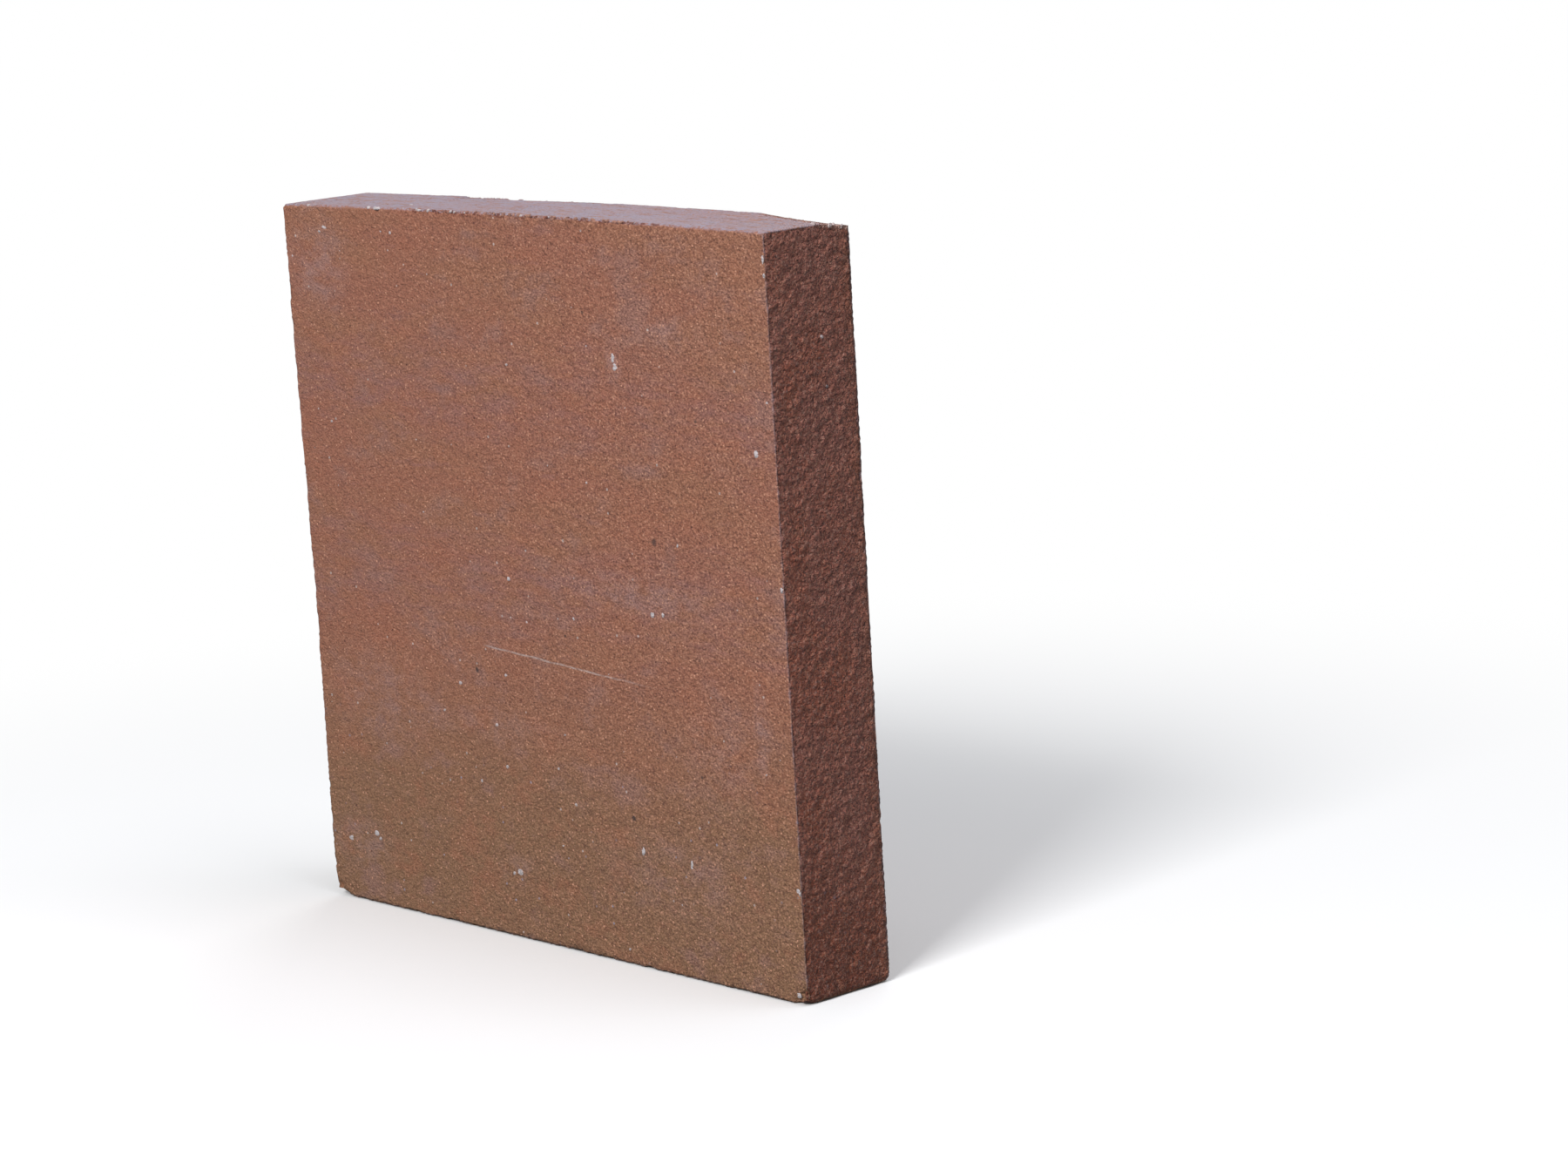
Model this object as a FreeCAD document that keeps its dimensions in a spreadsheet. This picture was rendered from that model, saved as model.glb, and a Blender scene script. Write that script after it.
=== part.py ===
import FreeCAD, Part
import math
import os
import sys

import Sketcher

# A square refractory tile of fired clay, standing on one of its narrow edges.
# Lengths are millimetres. The origin is at the middle of the edge that it stands on, +Z is up and the
# broad fair face looks along -Y.

NODE = "refractory_tile"

# Driving sizes: alias, value, meaning.
SIZES = [
    ("Width", 200.0, "overall width, along X"),
    ("Thickness", 30.0, "overall thickness, along Y"),
    ("Height", 200.0, "height of the top face at its two ends, along Z"),
    ("TopCrown", 0.8, "rise of the top face's middle above its ends"),
    ("TopLeftRadius", 1.5, "rounding of the top left corner of the broad faces"),
    ("TopRightRadius", 1.0, "rounding of the top right corner"),
    ("BottomRightRadius", 2.0, "rounding of the bottom right corner"),
    ("BottomLeftRadius", 4.0, "rounding of the bottom left corner, the most worn one"),
    ("FrontArrisRadius", 0.6, "rounding of the arris round the front face"),
    ("BackArrisRadius", 0.9, "rounding of the arris round the back face"),
    ("TopSpallWidth", 34.0, "reach along X of the spall at the top right back corner"),
    ("TopSpallThickness", 11.0, "reach along Y of the same spall"),
    ("TopSpallHeight", 2.0, "reach along Z of the same spall"),
    ("FootSpallWidth", 4.0, "reach along X of the spall at the bottom right front corner"),
    ("FootSpallThickness", 5.0, "reach along Y of the same spall"),
    ("FootSpallHeight", 2.2, "reach along Z of the same spall"),
]

# A spall is the bite of an ellipsoid whose middle lies outside the corner by this share of each radius,
# which leaves this share of each radius as the bite's reach along the three edges.
SPALL_MIDDLE = 0.4
SPALL_REACH = (1.0 - 2.0 * SPALL_MIDDLE**2) ** 0.5 - SPALL_MIDDLE

TOUCHING = 1e-6  # how near a face an edge lies to count as one of its edges


def make_sheet(doc):
    """The spreadsheet of driving sizes, one row each: meaning, value."""
    sheet = doc.addObject("Spreadsheet::Sheet", "Sizes")
    for row, (alias, value, meaning) in enumerate(SIZES, start=1):
        sheet.set("A%d" % row, meaning)
        sheet.set("B%d" % row, str(value))
        sheet.setAlias("B%d" % row, alias)
    doc.recompute()
    return sheet


def origin_plane(body, role):
    """One of the body's own origin planes, such as XY_Plane."""
    return [plane for plane in body.Origin.OriginFeatures if plane.Role == role][0]


def name_and_bind(sketch, constraint, name, expression):
    """Adds a constraint with a name, and ties its value to the sheet."""
    index = sketch.addConstraint(constraint)
    sketch.renameConstraint(index, name)
    sketch.setExpression("Constraints." + name, expression)


def face_outline(body):
    """The outline of the broad faces: on Z = 0, its top slightly crowned, each corner rounded by its own wear."""
    sketch = body.newObject("Sketcher::SketchObject", "FaceOutline")
    sketch.AttachmentSupport = (origin_plane(body, "XZ_Plane"), "")
    sketch.MapMode = "FlatFace"
    sizes = {alias: value for alias, value, meaning in SIZES}
    left, right, top = -sizes["Width"] / 2, sizes["Width"] / 2, sizes["Height"]

    # Corners in order round the outline, with the direction in from each corner to its arc's centre.
    corners = [
        ("BottomLeftRadius", left, 0.0, 1, 1, 180),
        ("BottomRightRadius", right, 0.0, -1, 1, 270),
        ("TopRightRadius", right, top, -1, -1, 0),
        ("TopLeftRadius", left, top, 1, -1, 90),
    ]
    arcs = []
    starts = []
    ends = []
    for alias, x, z, inward_x, inward_z, start_degrees in corners:
        radius = sizes[alias]
        centre = FreeCAD.Vector(x + inward_x * radius, z + inward_z * radius, 0)
        circle = Part.Circle(centre, FreeCAD.Vector(0, 0, 1), radius)
        arc = Part.ArcOfCircle(circle, math.radians(start_degrees), math.radians(start_degrees + 90))
        arcs.append(sketch.addGeometry(arc, False))
        starts.append(arc.StartPoint)
        ends.append(arc.EndPoint)

    # The crowned top is a shallow arc through both upper corners, whose centre lies far below Z = 0.
    crown_radius = sizes["Width"] ** 2 / (8 * sizes["TopCrown"]) + sizes["TopCrown"] / 2
    crown_depth = crown_radius - sizes["TopCrown"] - top
    crown_circle = Part.Circle(FreeCAD.Vector(0, -crown_depth, 0), FreeCAD.Vector(0, 0, 1), crown_radius)
    sides = []
    for corner in range(4):
        following = (corner + 1) % 4
        start, end = ends[corner], starts[following]
        if corners[corner][0] == "TopRightRadius":
            side = Part.ArcOfCircle(crown_circle, crown_circle.parameter(start), crown_circle.parameter(end))
        else:
            side = Part.LineSegment(start, end)
        sides.append(sketch.addGeometry(side, False))
        sketch.addConstraint(Sketcher.Constraint("Tangent", arcs[corner], 2, sides[corner], 1))
        sketch.addConstraint(Sketcher.Constraint("Tangent", sides[corner], 2, arcs[following], 1))

    bottom, right_side, top_side, left_side = sides
    sketch.addConstraint(Sketcher.Constraint("Horizontal", bottom))
    sketch.addConstraint(Sketcher.Constraint("Vertical", right_side))
    sketch.addConstraint(Sketcher.Constraint("PointOnObject", top_side, 3, -2))
    sketch.addConstraint(Sketcher.Constraint("Vertical", left_side))
    sketch.addConstraint(Sketcher.Constraint("PointOnObject", bottom, 1, -1))
    reach_right = Sketcher.Constraint("DistanceX", -1, 1, right_side, 1, right)
    reach_left = Sketcher.Constraint("DistanceX", left_side, 1, -1, 1, -left)
    crown_middle = Sketcher.Constraint("DistanceY", top_side, 3, -1, 1, crown_depth)
    crown_curve = Sketcher.Constraint("Radius", top_side, crown_radius)
    name_and_bind(sketch, reach_right, "ReachRight", "Sizes.Width / 2")
    name_and_bind(sketch, reach_left, "ReachLeft", "Sizes.Width / 2")
    radius_expression = "Sizes.Width ^ 2 / (8 * Sizes.TopCrown) + Sizes.TopCrown / 2"
    name_and_bind(sketch, crown_curve, "CrownRadius", radius_expression)
    name_and_bind(sketch, crown_middle, "CrownDepth", radius_expression + " - Sizes.TopCrown - Sizes.Height")
    for arc, (alias, x, z, inward_x, inward_z, start_degrees) in zip(arcs, corners):
        rounding = Sketcher.Constraint("Radius", arc, sizes[alias])
        name_and_bind(sketch, rounding, alias, "Sizes." + alias)
    return sketch


def slab(body, outline):
    """The outline given its thickness, half to each side of the XZ plane."""
    pad = body.newObject("PartDesign::Pad", "Slab")
    pad.Profile = outline
    pad.Midplane = True
    pad.setExpression("Length", "Sizes.Thickness")
    return pad


def rounded_arris(body, base, face_y, alias, name):
    """Rounds every edge of the broad face that lies at face_y."""
    edges = []
    for number, edge in enumerate(base.Shape.Edges, start=1):
        box = edge.BoundBox
        if abs(box.YMin - face_y) < TOUCHING and abs(box.YMax - face_y) < TOUCHING:
            edges.append("Edge%d" % number)
    fillet = body.newObject("PartDesign::Fillet", name)
    fillet.Base = (base, edges)
    fillet.setExpression("Radius", "Sizes." + alias)
    return fillet


def spall(body, name, side_x, side_y, at_top):
    """A shallow broken hollow at one corner of the slab."""
    radii = ["Sizes.%s%s / %r" % (name, reach, SPALL_REACH) for reach in ("Width", "Thickness", "Height")]
    out_x, out_y, out_z = ["%r * %s" % (SPALL_MIDDLE, radius) for radius in radii]
    middle = (
        "%d * (Sizes.Width / 2 + %s)" % (side_x, out_x),
        "%d * (Sizes.Thickness / 2 + %s)" % (side_y, out_y),
        "Sizes.Height + %s" % out_z if at_top else "-%s" % out_z,
    )
    bite = body.newObject("PartDesign::SubtractiveEllipsoid", name)
    bite.AttachmentSupport = (origin_plane(body, "XY_Plane"), "")
    bite.MapMode = "FlatFace"
    bite.Angle1 = -90
    bite.Angle2 = 90
    bite.Angle3 = 360
    for radius, expression in zip(("Radius2", "Radius3", "Radius1"), radii):
        bite.setExpression(radius, expression)
    for axis, expression in zip("xyz", middle):
        bite.setExpression("AttachmentOffset.Base." + axis, expression)
    return bite


def refractory_tile(doc):
    """The whole tile: one slab of fired clay with a crowned top, worn arrises and two spalled corners."""
    body = doc.addObject("PartDesign::Body", NODE)
    body.Label = NODE
    pad = slab(body, face_outline(body))
    doc.recompute()
    back_y = doc.Sizes.Thickness / 2
    front = rounded_arris(body, pad, -back_y, "FrontArrisRadius", "FrontArris")
    doc.recompute()
    back = rounded_arris(body, front, back_y, "BackArrisRadius", "BackArris")
    doc.recompute()
    slab_volume = back.Shape.Volume
    spall(body, "TopSpall", 1, 1, True)
    doc.recompute()
    top_volume = body.Shape.Volume
    spall(body, "FootSpall", 1, -1, False)
    doc.recompute()
    if not slab_volume > top_volume > body.Shape.Volume:
        sys.exit("a spall took nothing from the slab")
    return body


def check(doc, bodies):
    """Stops if any object failed to compute, or a piece isn't one valid solid."""
    for item in doc.Objects:
        if "Invalid" in item.State or "Error" in item.State:
            sys.exit("%s did not compute: %s" % (item.Name, item.State))
    for body in bodies:
        if body.Shape.isNull() or not body.Shape.isValid() or len(body.Shape.Solids) != 1:
            sys.exit("%s is not one valid solid" % body.Label)


def write(bodies):
    """Writes each piece to parts/, under its own name."""
    os.makedirs("parts", exist_ok=True)
    for body in bodies:
        body.Shape.exportStep("parts/%s.step" % body.Label)
        box = body.Shape.optimalBoundingBox(False)
        size = (box.XLength, box.YLength, box.ZLength)
        print(body.Label, "box %.3f x %.3f x %.3f mm" % size, "volume %.0f mm3" % body.Shape.Volume)


document = FreeCAD.newDocument("RefractoryTile")
make_sheet(document)
pieces = [refractory_tile(document)]
check(document, pieces)
write(pieces)
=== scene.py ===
import math

import bpy
from mathutils import Matrix, Vector


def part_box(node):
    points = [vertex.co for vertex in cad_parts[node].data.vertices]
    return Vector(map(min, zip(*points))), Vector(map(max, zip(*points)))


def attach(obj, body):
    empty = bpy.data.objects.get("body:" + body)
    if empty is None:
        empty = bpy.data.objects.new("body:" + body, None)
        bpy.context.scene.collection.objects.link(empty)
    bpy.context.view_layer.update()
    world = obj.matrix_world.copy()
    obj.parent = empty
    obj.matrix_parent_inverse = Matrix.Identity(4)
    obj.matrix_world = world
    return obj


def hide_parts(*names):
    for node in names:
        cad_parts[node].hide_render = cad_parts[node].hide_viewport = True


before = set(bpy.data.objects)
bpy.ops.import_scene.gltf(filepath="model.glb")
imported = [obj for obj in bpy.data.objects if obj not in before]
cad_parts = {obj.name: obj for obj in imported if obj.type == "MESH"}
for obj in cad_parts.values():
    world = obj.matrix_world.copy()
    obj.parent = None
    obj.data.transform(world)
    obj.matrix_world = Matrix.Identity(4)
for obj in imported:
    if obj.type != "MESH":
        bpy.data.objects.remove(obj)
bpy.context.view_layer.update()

# The looks of a fired refractory tile that stands on one narrow edge.
# Lengths are metres, written as multiples of MM. -Y is out of the fair broad face, +Z is up.

MM = 0.001
NODE = "refractory_tile"
SLOT = "fired_clay"

TILE_LOW, TILE_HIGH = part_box(NODE)
WIDTH = TILE_HIGH.x - TILE_LOW.x
THICKNESS = TILE_HIGH.y - TILE_LOW.y
TOP = TILE_HIGH.z
FRONT = -THICKNESS / 2
BACK = THICKNESS / 2
RIGHT = WIDTH / 2


# ---------------------------------------------------------------- node words


class Number:
    """A number that a tree works out: sums and products of Numbers add Math nodes."""

    def __init__(self, words, socket):
        self.words = words
        self.socket = socket

    def __add__(self, other):
        return self.words.math("ADD", self, other)

    def __radd__(self, other):
        return self.words.math("ADD", other, self)

    def __sub__(self, other):
        return self.words.math("SUBTRACT", self, other)

    def __rsub__(self, other):
        return self.words.math("SUBTRACT", other, self)

    def __mul__(self, other):
        return self.words.math("MULTIPLY", self, other)

    def __rmul__(self, other):
        return self.words.math("MULTIPLY", other, self)

    def __truediv__(self, other):
        return self.words.math("DIVIDE", self, other)


class Words:
    """Plain words for the nodes of one tree, shader or geometry. Each returns what the node gives."""

    def __init__(self, tree):
        self.tree = tree

    def node(self, kind, inputs=None, **settings):
        node = self.tree.nodes.new(kind)
        for name, value in settings.items():
            setattr(node, name, value)
        for name, value in (inputs or {}).items():
            self.put(node.inputs[name], value)
        return node

    def put(self, socket, value):
        if isinstance(value, Number):
            value = value.socket
        if isinstance(value, bpy.types.NodeSocket):
            self.tree.links.new(value, socket)
        else:
            socket.default_value = value

    def math(self, operation, *values):
        node = self.node("ShaderNodeMath", operation=operation)
        for socket, value in zip(node.inputs, values):
            self.put(socket, value)
        return Number(self, node.outputs[0])

    def least(self, a, b):
        return self.math("MINIMUM", a, b)

    def most(self, a, b):
        return self.math("MAXIMUM", a, b)

    def size_of(self, a):
        return self.math("ABSOLUTE", a)

    def sign_of(self, a):
        return self.math("SIGN", a)

    def root(self, a):
        return self.math("SQRT", self.most(a, 0.0))

    def fade(self, value, low, high):
        """0 where value is at low and 1 where it is at high, with a smooth step between."""
        node = self.node("ShaderNodeMapRange", interpolation_type="SMOOTHSTEP")
        for name, given in (("Value", value), ("From Min", low), ("From Max", high)):
            self.put(node.inputs[name], given)
        return Number(self, node.outputs["Result"])

    def blend(self, factor, a, b):
        """a where factor is 0, b where it is 1, for Numbers."""
        return a + (b - a) * factor

    def point(self, x, y, z):
        node = self.node("ShaderNodeCombineXYZ", inputs={"X": x, "Y": y, "Z": z})
        return node.outputs["Vector"]

    def parts(self, vector):
        node = self.node("ShaderNodeSeparateXYZ", inputs={"Vector": vector})
        return [Number(self, node.outputs[axis]) for axis in "XYZ"]

    def vector(self, operation, *values):
        node = self.node("ShaderNodeVectorMath", operation=operation)
        for socket, value in zip(node.inputs, values):
            self.put(socket, value)
        return node.outputs["Vector"]

    def stretched(self, place, x, y, z):
        return self.vector("MULTIPLY", place, (x, y, z))

    def noise(self, place, grain, detail=2.0, roughness=0.5, shift=0.0):
        """Cloudy noise from 0 to 1 whose lumps are about one grain across."""
        moved = self.vector("ADD", place, (shift, shift * 0.7, shift * 1.3)) if shift else place
        settings = {"Vector": moved, "Scale": 1.0 / grain, "Detail": detail, "Roughness": roughness}
        return Number(self, self.node("ShaderNodeTexNoise", inputs=settings).outputs[0])

    def cells(self, place, grain, feature="F1"):
        """Voronoi cells one grain apart: grains from here to the cell's seed, and the cell's colour."""
        settings = {"Vector": place, "Scale": 1.0 / grain}
        node = self.node("ShaderNodeTexVoronoi", inputs=settings, feature=feature)
        return Number(self, node.outputs["Distance"]), node.outputs["Color"]

    def seeds(self, place, grain, share, reach, soft=0.35):
        """Round spots, 1 at their middles: about this share of the cells one grain apart holds one."""
        distance, colour = self.cells(place, grain)
        pick, spread = self.parts(colour)[:2]
        chosen = self.fade(pick, 1.0 - share, 1.0 - share + 0.02)
        radius = reach / grain * (0.6 + 0.8 * spread)
        return self.fade(distance / radius, 1.0, 1.0 - soft) * chosen


# ---------------------------------------------------------------- the tile's shape


# Wear of the four corners of the broad faces, as in the solid: left or right, foot or top, radius.
CORNERS = [
    (-1, 0, 4.0 * MM),
    (1, 0, 2.0 * MM),
    (1, 1, 1.0 * MM),
    (-1, 1, 1.5 * MM),
]
CROWN = 0.8 * MM

# Nicks in the arrises: place of each and its radius. Y is -1 on the front face and 1 on the back one.
NICKS = [
    (-100 * MM, -1, 9.2 * MM, 1.3 * MM),
    (-97 * MM, -1, 3.0 * MM, 1.6 * MM),
    (-100 * MM, -1, 57 * MM, 0.9 * MM),
    (-100 * MM, -1, 121 * MM, 1.0 * MM),
    (100 * MM, 1, 47 * MM, 1.0 * MM),
    (100 * MM, 1, 43 * MM, 1.2 * MM),
    (100 * MM, 1, 108 * MM, 0.9 * MM),
    (100 * MM, -1, 188 * MM, 0.8 * MM),
    (-57 * MM, -1, 200 * MM, 1.6 * MM),
    (-38 * MM, -1, 201 * MM, 1.0 * MM),
    (22 * MM, -1, 201 * MM, 1.1 * MM),
    (-62 * MM, -1, 0 * MM, 1.2 * MM),
    (31 * MM, -1, 0 * MM, 1.0 * MM),
    (99 * MM, -1, 2.5 * MM, 2.6 * MM),
    (96 * MM, -1, 0.5 * MM, 2.0 * MM),
]


def rounded_place(w, place, half_width, half_thickness, height, arris):
    """Takes a point of the sharp box to the worn slab, and gives the way out of the slab there."""
    x, y, z = w.parts(place)
    half_height = height / 2
    up = z - half_height

    # The corner radius, which differs from corner to corner.
    radius = 0.0
    for side, foot_or_top, corner_radius in CORNERS:
        here_x = w.math("GREATER_THAN", x * side, 0.0)
        here_z = w.math("GREATER_THAN", up * (2 * foot_or_top - 1), 0.0)
        radius = here_x * here_z * corner_radius + radius

    # Round the corners of the outline: the square at each corner becomes a quarter disc.
    out_x = w.most(w.size_of(x) - (half_width - radius), 0.0)
    out_z = w.most(w.size_of(up) - (half_height - radius), 0.0)
    reach = w.most(w.root(out_x * out_x + out_z * out_z), 1e-9)
    pull = w.most(out_x, out_z) / reach
    in_corner = w.math("GREATER_THAN", w.least(out_x, out_z), 1e-7)
    pull = w.blend(in_corner, 1.0, pull)
    side_x, side_z = w.sign_of(x), w.sign_of(up)
    worn_x = side_x * (w.size_of(x) - out_x + out_x * pull)
    worn_up = side_z * (w.size_of(up) - out_z + out_z * pull)

    # Which way is out of the outline here.
    edge_x = w.most(w.size_of(x) - (half_width - arris), 0.0)
    edge_z = w.most(w.size_of(up) - (half_height - arris), 0.0)
    edge_reach = w.most(w.root(edge_x * edge_x + edge_z * edge_z), 1e-9)
    along_x = w.blend(in_corner, edge_x / edge_reach, out_x / reach)
    along_z = w.blend(in_corner, edge_z / edge_reach, out_z / reach)

    # Round the arris between the outline and the broad faces.
    rim = w.least(w.most(edge_x, edge_z), arris)
    rim_y = w.most(w.size_of(y) - (half_thickness - arris), 0.0)
    rim_reach = w.most(w.root(rim * rim + rim_y * rim_y), 1e-9)
    rim_pull = w.most(rim, rim_y) / rim_reach
    back = rim * (1.0 - rim_pull)
    new_x = worn_x - side_x * along_x * back
    new_up = worn_up - side_z * along_z * back
    new_y = w.sign_of(y) * (w.size_of(y) - rim_y * (1.0 - rim_pull))
    rim_share = rim / rim_reach
    way_x = side_x * along_x * rim_share
    way_z = side_z * along_z * rim_share
    way_y = w.sign_of(y) * rim_y / rim_reach
    on_arris = w.fade(w.least(rim, rim_y), 0.0, arris * 0.6)
    return (new_x, new_y, new_up + half_height), (way_x, way_y, way_z), on_arris


def bowed(w, x, z, width):
    """The left side is hollow: it lies up to a millimetre in, a little below its middle."""
    hollow = 1.0 * MM * w.fade(z, 175 * MM, 82 * MM) * w.fade(z, -20 * MM, 82 * MM)
    return x + hollow * (0.5 - x / width)


def crowned(w, x, z, height):
    """Lifts the upper part of the slab by the crown of its top face."""
    across = x / RIGHT
    return z + CROWN * (1.0 - across * across) * w.fade(z, height * 0.5, height)


def bowl(w, x, y, middle, radii):
    """How deep an upright bowl of one unit depth is here, 0 outside its rim."""
    across, along = (x - middle[0]) / radii[0], (y - middle[1]) / radii[1]
    return w.root(1.0 - across * across - along * along)


# The bowls of the two broken corners, at the top right back and at the right front foot.
TOP_SPALL_MIDDLE = (RIGHT + 33 * MM, BACK + 10.5 * MM)
TOP_SPALL_RADII = (79 * MM, 26 * MM)
TOP_SPALL_RIM = 1.9 * MM  # above the ends of the top face
TOP_SPALL_DEPTH = 4.7 * MM
FOOT_SPALL_MIDDLE = (RIGHT + 3.8 * MM, FRONT - 4.7 * MM)
FOOT_SPALL_RADII = (9.4 * MM, 11.8 * MM)
FOOT_SPALL_RIM = -2.1 * MM  # below the foot
FOOT_SPALL_DEPTH = 5.2 * MM


def spalled(w, x, y, z, skin):
    """Cuts the two broken corners, and tells where the skin is broken."""
    rough = (w.noise(skin, 2.2 * MM, 3.0) - 0.5) * 0.5 * MM

    top_bowl = bowl(w, x, y, TOP_SPALL_MIDDLE, TOP_SPALL_RADII)
    floor_z = TOP - CROWN + TOP_SPALL_RIM - top_bowl * TOP_SPALL_DEPTH + rough
    top_z = w.blend(w.math("GREATER_THAN", top_bowl, 0.001), z, w.least(z, floor_z))

    foot_bowl = bowl(w, x, y, FOOT_SPALL_MIDDLE, FOOT_SPALL_RADII)
    roof_z = foot_bowl * FOOT_SPALL_DEPTH + FOOT_SPALL_RIM + rough
    foot_z = w.blend(w.math("GREATER_THAN", foot_bowl, 0.001), top_z, w.most(top_z, roof_z))
    return foot_z, w.fade(w.size_of(foot_z - z), 0.02 * MM, 0.15 * MM)


def chipped(w, x, y, z, skin):
    """Shallow chips that leave the foot's front arris and the left front arris uneven."""
    near_front = w.fade(y, FRONT + 4.5 * MM, FRONT + 0.5 * MM)
    along_foot = w.noise(w.stretched(skin, 1.0, 0.3, 0.0), 6 * MM, 3.0, 0.6, shift=2.2)
    foot_corner = 1.6 * MM * w.fade(x, -90 * MM, -98 * MM)
    foot_chip = 1.0 * MM * w.fade(along_foot, 0.38, 0.66) + foot_corner
    up_left = w.noise(w.stretched(skin, 0.0, 0.3, 1.0), 6 * MM, 3.0, 0.6, shift=6.8)
    left_corner = 1.8 * MM * w.fade(z, 13 * MM, 3 * MM)
    left_chip = 1.1 * MM * w.fade(up_left, 0.42, 0.62) + left_corner
    hollow_left = bowed(w, -RIGHT, z, WIDTH)
    return w.most(x, hollow_left + left_chip * near_front), w.most(z, foot_chip * near_front)


def face_share(w, way, axis, side):
    """1 on the face that looks along this axis, fading out over its arrises."""
    return w.fade(way["xyz".index(axis)] * side, 0.55, 0.85)


def relief(w, place, way, on_arris, depths):
    """How far the fired skin lies inside the rounded slab, in metres."""
    x, y, z = w.parts(place)
    right, left = face_share(w, way, "x", 1), face_share(w, way, "x", -1)
    top, foot = face_share(w, way, "z", 1), face_share(w, way, "z", -1)

    # The broad faces: nearly flat, drawn out in faint level waves, with the sand just showing.
    waves = w.noise(w.stretched(place, 0.35, 1.0, 1.0), 16 * MM, 2.0)
    sand = w.noise(place, 1.5 * MM, 2.0, 0.6, shift=0.7)
    sink = 0.16 * MM * waves + 0.14 * MM * sand

    # Orange peel on the right edge: blunt bumps of two sizes.
    bumps = w.noise(place, 3.4 * MM, 2.0, 0.6, shift=1.1)
    mounds = w.cells(place, 2.3 * MM, "SMOOTH_F1")[0]
    peel = 0.6 * w.fade(bumps, 0.70, 0.30) + 0.9 * w.fade(mounds, 0.1, 0.7)
    sink = sink + right * depths["Peel Depth"] * peel

    # Drag marks of the cutting wire on the top and the foot, with torn crumbs.
    drag = w.noise(w.stretched(place, 0.16, 1.0, 1.0), 1.6 * MM, 2.0, 0.6, shift=2.3)
    tear_distance, tear_colour = w.cells(w.stretched(place, 0.35, 1.0, 1.0), 2.6 * MM)
    tear_pick = w.parts(tear_colour)[0]
    tears = w.fade(tear_distance, 0.40, 0.15) * w.fade(tear_pick, 0.86, 0.89)
    sink = sink + (top + foot) * depths["Drag Depth"] * (0.4 * drag + 1.8 * tears)
    step = w.fade(x, -53.5 * MM, -52 * MM) * w.fade(x, 20 * MM, -40 * MM) * w.fade(y, 2 * MM, 9 * MM)
    sink = sink + top * 0.5 * MM * step

    # The top front arris is torn where the wire left it, a little left of its middle to half way right.
    torn = w.fade(x, -50 * MM, -38 * MM) * w.fade(x, 60 * MM, 40 * MM) * w.fade(z, 198 * MM, 199.4 * MM)
    notches = w.noise(w.stretched(place, 0.55, 0.5, 0.5), 1.9 * MM, 3.0, 0.6, shift=9.1)
    sink = sink + on_arris * torn * 1.9 * MM * w.fade(notches, 0.48, 0.60)

    # The left edge is the rough one: pits, and a crack that wanders down the middle of the thickness.
    lumps = w.noise(place, 4.5 * MM, 4.0, 0.65, shift=3.1)
    wander = (w.noise(w.stretched(place, 0.0, 0.0, 1.0), 22 * MM, 3.0, 0.6, shift=4.2) - 0.5) * 9 * MM
    crack_gap = w.size_of(y - wander - 1.5 * MM)
    crack_open = w.fade(w.noise(place, 11 * MM, 2.0, shift=5.3), 0.38, 0.55)
    crack = w.fade(crack_gap, 0.85 * MM, 0.1 * MM) * crack_open
    pits = w.seeds(place, 5.5 * MM, 0.30, 1.0 * MM, soft=0.8)
    sink = sink + left * (0.5 * MM * w.fade(lumps, 0.62, 0.3) + 1.1 * MM * crack + 0.7 * MM * pits)

    # Crumbled arrises: fine all round, with a bite here and there.
    crumble = w.fade(w.noise(place, 1.3 * MM, 3.0, 0.65, shift=6.1), 0.42, 0.75)
    bite = w.fade(w.noise(place, 6.5 * MM, 2.0, 0.5, shift=7.7), 0.58, 0.72)
    ragged = 1.0 + 2.2 * w.fade(z, 6 * MM, 1 * MM) + 0.9 * w.fade(x, -95 * MM, -99 * MM)
    sink = sink + on_arris * depths["Arris Wear"] * ragged * (crumble + 1.2 * bite)
    return sink


def nick_depth(w, x, y, z):
    """The bites of the listed nicks, as a depth inwards."""
    depth = 0.0
    for nick_x, nick_side, nick_z, radius in NICKS:
        away_x, away_y, away_z = x - nick_x, (y - nick_side * BACK) * 0.8, z - nick_z
        away = w.root(away_x * away_x + away_y * away_y + away_z * away_z)
        depth = w.fade(away, radius, radius * 0.25) * radius * 0.55 + depth
    return depth


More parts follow.
